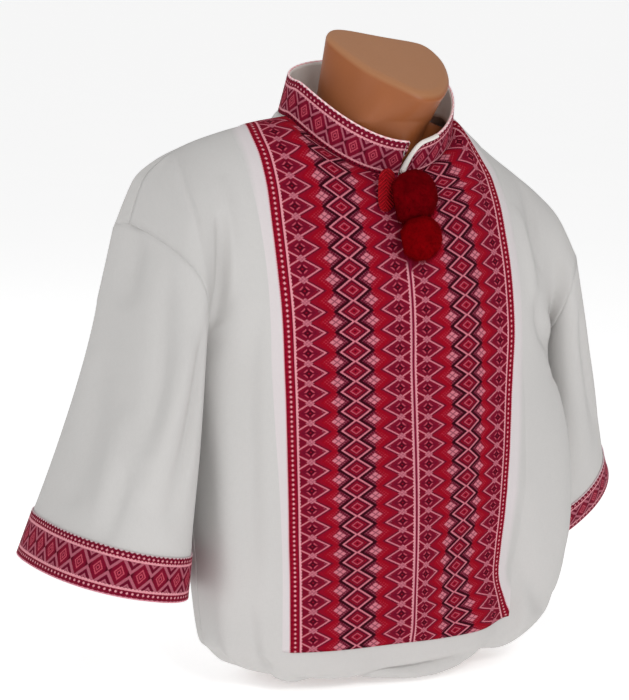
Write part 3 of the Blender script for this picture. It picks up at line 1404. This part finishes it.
def woolFibre(bm, way, picker, index, middle, size):
    # a thin tapering hair that stands out from the ball along a way
    side = way.orthogonal().normalized()
    side.rotate(Matrix.Rotation(picker.uniform(0, 6.28), 3, way))
    other = way.cross(side)
    root = wool["core"] * 0.9
    reach = picker.uniform(0.96, 1.04) if index % 4 else picker.uniform(1.04, 1.13)
    curl = picker.uniform(-0.20, 0.20)
    made = bmesh.ops.create_grid(bm, x_segments=3, y_segments=3, size=0.5)
    for vert in made["verts"]:
        along = vert.co.y + 0.5
        around = (vert.co.x + 0.5) * 2 * math.pi
        spot = way * (root + (reach - root) * along)
        spot += side * curl * along * along - Vector((0, 0, 0.06 * along * along))
        spot = times(spot, size)
        thick = wool["fibre"] * (1 - 0.7 * along)
        vert.co = heldBack(middle + spot) + (side * math.cos(around) + other * math.sin(around)) * thick


def makeWool(name):
    node, fibres, fuller, rise, dark, light = wool[name]
    low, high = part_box(node)
    middle = (low + high) / 2 + Vector((wool["aside"], 0, rise))
    size = times((high - low) / 2, fuller)
    picker = random.Random(wool["seed"] + fibres)
    bm = bmesh.new()
    bmesh.ops.create_icosphere(bm, subdivisions=5, radius=1.0)
    for vert in bm.verts:
        x, y, z = vert.co
        lump = 0.018 * math.sin(9 * x + 4 * z) * math.sin(8 * y + 5 * z)
        lump += 0.008 * math.sin(31 * x) * math.sin(27 * z + 6 * y)
        vert.co *= wool["core"] + lump
        vert.co = heldBack(middle + times(vert.co, size))
    for first in range(0, fibres, wool["tuft"]):
        tuft = bmesh.new()
        for index in range(first, min(first + wool["tuft"], fibres)):
            # spread evenly over the ball, then jittered
            lift = 1 - 2 * (index + 0.5) / fibres
            turn = index * 2.399963 + picker.uniform(-0.2, 0.2)
            flat = math.sqrt(max(0.0, 1 - lift * lift))
            way = Vector((flat * math.cos(turn), flat * math.sin(turn), lift))
            woolFibre(tuft, way, picker, index, middle, size)
        bmesh.ops.remove_doubles(tuft, verts=tuft.verts[:], dist=0.0000005)
        mesh = bpy.data.meshes.new("tuft")
        tuft.to_mesh(mesh)
        tuft.free()
        bm.from_mesh(mesh)
        bpy.data.meshes.remove(mesh)
    piece = meshObject(name, bm, woolMaterial(name + "Wool", dark, light))
    dress(piece, node)


makeWool("woolUpper")
makeWool("woolLower")


tie = {"rows": 40, "columns": 24, "braid": 0.0032}


def tieMaterial():
    net = Net("braidedTie", Roughness=0.9, Specular_IOR_Level=0.10)
    u, v = net.flatPlace()
    lean = abs(u) * 0.9 + v
    strands = (lean * (2 * math.pi / tie["braid"])).sine()
    fleck = net.noise(net.vector(u * 900, v * 900), 1.0, 2.0)
    soft = net.noise(net.vector(u * 160, v * 160), 1.0, 3.0)
    light = ((strands + 1) * 0.2 + soft).above(0.7, 0.4)
    colour = net.over(paint(126, 2, 12), paint(168, 10, 24), light)
    colour = net.over(colour, paint(180, 50, 58), fleck.above(0.62, 0.08) * 0.35)
    net.feed("Base Color", colour)
    net.bump(strands + fleck * 0.6, 0.0006, 0.8)
    return net.material


def makeTie():
    low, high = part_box("tie_end")
    middle = (low + high) / 2
    size = (high - low) / 2
    bm = bmesh.new()
    layer = bm.loops.layers.uv.new("cut")
    bmesh.ops.create_uvsphere(bm, u_segments=tie["columns"] * 2, v_segments=tie["rows"], radius=1.0)
    for vert in bm.verts:
        groove = 1 - 0.16 * abs(math.sin(4.2 * math.pi * (vert.co.z + 0.6 * abs(vert.co.x))))
        full = math.sqrt(1 + vert.co.z ** 2)
        vert.co = Vector((vert.co.x * full * 1.3 + 0.25, vert.co.y * groove * full, vert.co.z))
        vert.co = middle + times(vert.co, size)
    for face in bm.faces:
        for loop in face.loops:
            loop[layer].uv = (loop.vert.co.x - middle.x, loop.vert.co.z - low.z)
    piece = meshObject("tieLeaf", bm, tieMaterial())
    dress(piece, "tie_end")


makeTie()
print("stage: wool ties")


# the dress form

form = {
    # height, half width, front, back, squareness, centre y, centre x
    "rings": (
        (0.0000, 0.0800, 0.0340, 0.0360, 2.2, 0.000, 0.000),
        (0.0320, 0.0820, 0.0340, 0.0360, 2.2, 0.000, 0.000),
        (0.0460, 0.1360, 0.0620, 0.0430, 2.1, -0.004, 0.004),
        (0.0720, 0.1500, 0.0670, 0.0460, 2.1, -0.004, 0.004),
        (0.1400, 0.1520, 0.0750, 0.0590, 2.1, 0.000, 0.002),
        (0.2200, 0.1550, 0.0820, 0.0730, 2.2, 0.010, 0.000),
        (0.3000, 0.1600, 0.0850, 0.0730, 2.3, 0.023, 0.000),
        (0.3500, 0.1620, 0.0720, 0.0620, 2.4, 0.030, 0.003),
        (0.4090, 0.1560, 0.0560, 0.0480, 2.4, 0.034, 0.006),
        (0.4310, 0.1460, 0.0480, 0.0410, 2.3, 0.034, 0.007),
        (0.4512, 0.1280, 0.0410, 0.0370, 2.2, 0.033, 0.008),
        (0.4672, 0.1040, 0.0360, 0.0350, 2.1, 0.029, 0.009),
        (0.4790, 0.0700, 0.0340, 0.0370, 2.0, 0.023, 0.010),
        (0.4870, 0.0460, 0.0300, 0.0330, 2.0, 0.016, 0.008),
    ),
    # the neck: height, half width, front y, back y, centre x
    "neck": (
        (0.4090, 0.0300, 0.0000, 0.0500, 0.004),
        (0.4512, 0.0420, -0.0370, 0.0600, 0.004),
        (0.4672, 0.0440, -0.0400, 0.0600, 0.004),
        (0.4790, 0.0475, -0.0425, 0.0580, 0.005),
        (0.4870, 0.0500, -0.0450, 0.0560, 0.007),
    ),
    # the neck's cords and the hollow between them: turn, reach, depth
    "cords": ((-42, 16, 0.0026), (-14, 14, -0.0030), (16, 16, 0.0024)),
    "columns": 144,
    # the slanting cut through the neck
    "capMiddle": (0.0130, -0.0030, 0.5460),
    "capSlope": 0.60,
    "capOutline": (
        (-0.0345, 0.0070), (-0.0355, 0.0180), (-0.0280, 0.0275), (-0.0160, 0.0290),
        (0.0070, 0.0240), (0.0295, 0.0180), (0.0500, 0.0115), (0.0595, 0.0060),
        (0.0640, -0.0040), (0.0645, -0.0175), (0.0585, -0.0340), (0.0480, -0.0475),
        (0.0365, -0.0570), (0.0240, -0.0605), (0.0105, -0.0575), (-0.0070, -0.0415),
        (-0.0205, -0.0265), (-0.0290, -0.0090),
    ),
    "capRounding": 0.007,
}


def formMaterial():
    net = Net("tanPlastic", Roughness=0.42, IOR=1.42)
    place = net.objectPlace()
    cloudy = net.noise(place, 9, 3.0, 0.5)
    fine = net.noise(place, 420, 3.0, 0.6)
    stops = ((0.30, paint(136, 74, 36)), (0.72, paint(156, 90, 46)))
    colour = net.add("ShaderNodeValToRGB", {"stops": stops}, [cloudy])
    # the cut through the neck is paler and duller
    y, z = net.split(place)[1:]
    _, middleY, middleZ = form["capMiddle"]
    onCap = (z - middleZ - (y - middleY) * form["capSlope"]).above(-0.004, 0.003)
    colour = net.over(colour, paint(172, 122, 84), onCap * 0.75)
    colour = net.shade(colour, 0.94 + 0.10 * fine)
    net.feed("Base Color", colour)
    net.feed("Roughness", 0.36 + 0.16 * net.noise(place, 40, 3.0, 0.6))
    net.bump(fine + cloudy * 2, 0.00015, 0.4)
    return net.material


def closedCurve(points, count):
    # a smooth closed curve through a few points
    knots = np.array(points)
    place = np.linspace(0, len(knots), count, endpoint=False)
    first = place.astype(int)
    t = (place - first)[:, None]
    a, b, c, d = (knots[(first + step) % len(knots)] for step in (-1, 0, 1, 2))
    return b + 0.5 * t * (c - a + t * (2 * a - 5 * b + 4 * c - d + t * (3 * (b - c) + d - a)))


def makeForm():
    angles = np.linspace(0, 2 * math.pi, form["columns"] + 1)

    def reachOf(outline, middle):
        # how far a closed outline lies from a middle, in each direction
        x, y = outline[:, 0] - middle[0], middle[1] - outline[:, 1]
        return np.interp(angles, np.arctan2(x, y), np.hypot(x, y), period=2 * math.pi)

    def ringAt(middle, reach, z):
        x, y = middle[0] + reach * np.sin(angles), middle[1] - reach * np.cos(angles)
        return np.stack((x, y, z + 0 * x), axis=1)

    keys = np.array([ring[0] for ring in form["rings"]])
    rings = []
    heights = [np.linspace(low, high, 7)[:-1] for low, high in zip(keys[:-1], keys[1:])]
    for height in np.concatenate(heights + [keys[-1:]]):
        halfWidth, ahead, behind, square, centreY, centreX = tableAt(form["rings"], height)
        x = centreX + halfWidth * signedPower(np.sin(angles), 2 / square)
        depth = np.where(np.cos(angles) > 0, ahead, behind)
        y = centreY - depth * signedPower(np.cos(angles), 2 / square)
        if height < form["neck"][0][0]:
            middle = (centreX, centreY)
            rings.append(ringAt(middle, reachOf(np.stack((x, y), axis=1), middle), height))
            continue
        # the neck grows out of the shoulders
        half, fore, aft, middleX = tableAt(form["neck"], height)
        middle = (middleX, (fore + aft) / 2)
        neckReach = 1 / np.hypot(np.sin(angles) / half, np.cos(angles) * 2 / (aft - fore))
        for turn, spread, deep in form["cords"]:
            off = (np.degrees(angles) - turn + 180) % 360 - 180
            neckReach = neckReach + deep * np.exp(-((off / spread) ** 2))
        shoulderReach = reachOf(np.stack((x, y), axis=1), middle)
        rings.append(ringAt(middle, (neckReach ** 9 + shoulderReach ** 9) ** (1 / 9), height))
    lastRing = rings[-1]
    rounding = form["capRounding"]
    middleX, middleY, middleZ = form["capMiddle"]
    outline = closedCurve(form["capOutline"], 360)
    capCentre = outline.mean(axis=0)
    capReach = reachOf(outline, capCentre)

    def capRing(inset, sink):
        ring = ringAt(capCentre, capReach - inset, middleZ - sink)
        ring[:, 2] += form["capSlope"] * (ring[:, 1] - middleY)
        return ring

    edge = capRing(0.0, rounding)
    for share in np.linspace(0, 1, 15)[1:]:
        rings.append(lastRing + (edge - lastRing) * share)
    for turn in np.linspace(0, math.pi / 2, 9)[1:]:
        rings.append(capRing(rounding * (1 - math.cos(turn)), rounding * (1 - math.sin(turn))))
    for inset in (0.012, 0.020, 0.026):
        rings.append(capRing(inset, 0.0))
    points = np.array(rings)
    outward = points - points.mean(axis=1, keepdims=True)
    piece = gridObject("formShell", points, None, formMaterial(), closed=True, outward=outward)
    fillHoles(piece)
    piece.data.shade_smooth()
    dress(piece, "dress_form")


makeForm()
print("stage: dress form")


# what the cloth pieces were cut to


# floor and air

def makeStage():
    net = Net("paleFloor", Roughness=0.9, Emission_Color=(1.0, 1.0, 1.0, 1.0), Emission_Strength=0.50)
    place = net.objectPlace()
    cloudy = net.noise(place, 3, 4.0, 0.6)
    net.feed("Base Color", net.shade(paint(244, 244, 244), 0.97 + 0.03 * cloudy))
    bm = bmesh.new()
    bmesh.ops.create_circle(bm, cap_ends=True, cap_tris=False, segments=64, radius=70.0)
    floor = meshObject("floor", bm, net.material, smooth=False)
    world = bpy.data.worlds.new("air")
    world.use_nodes = True
    light = world.node_tree.nodes["Background"].inputs
    light[0].default_value = (1.0, 1.0, 1.0, 1.0)
    light[1].default_value = 0.47
    scene.world = world
    scene.view_settings.view_transform = "Standard"


makeStage()
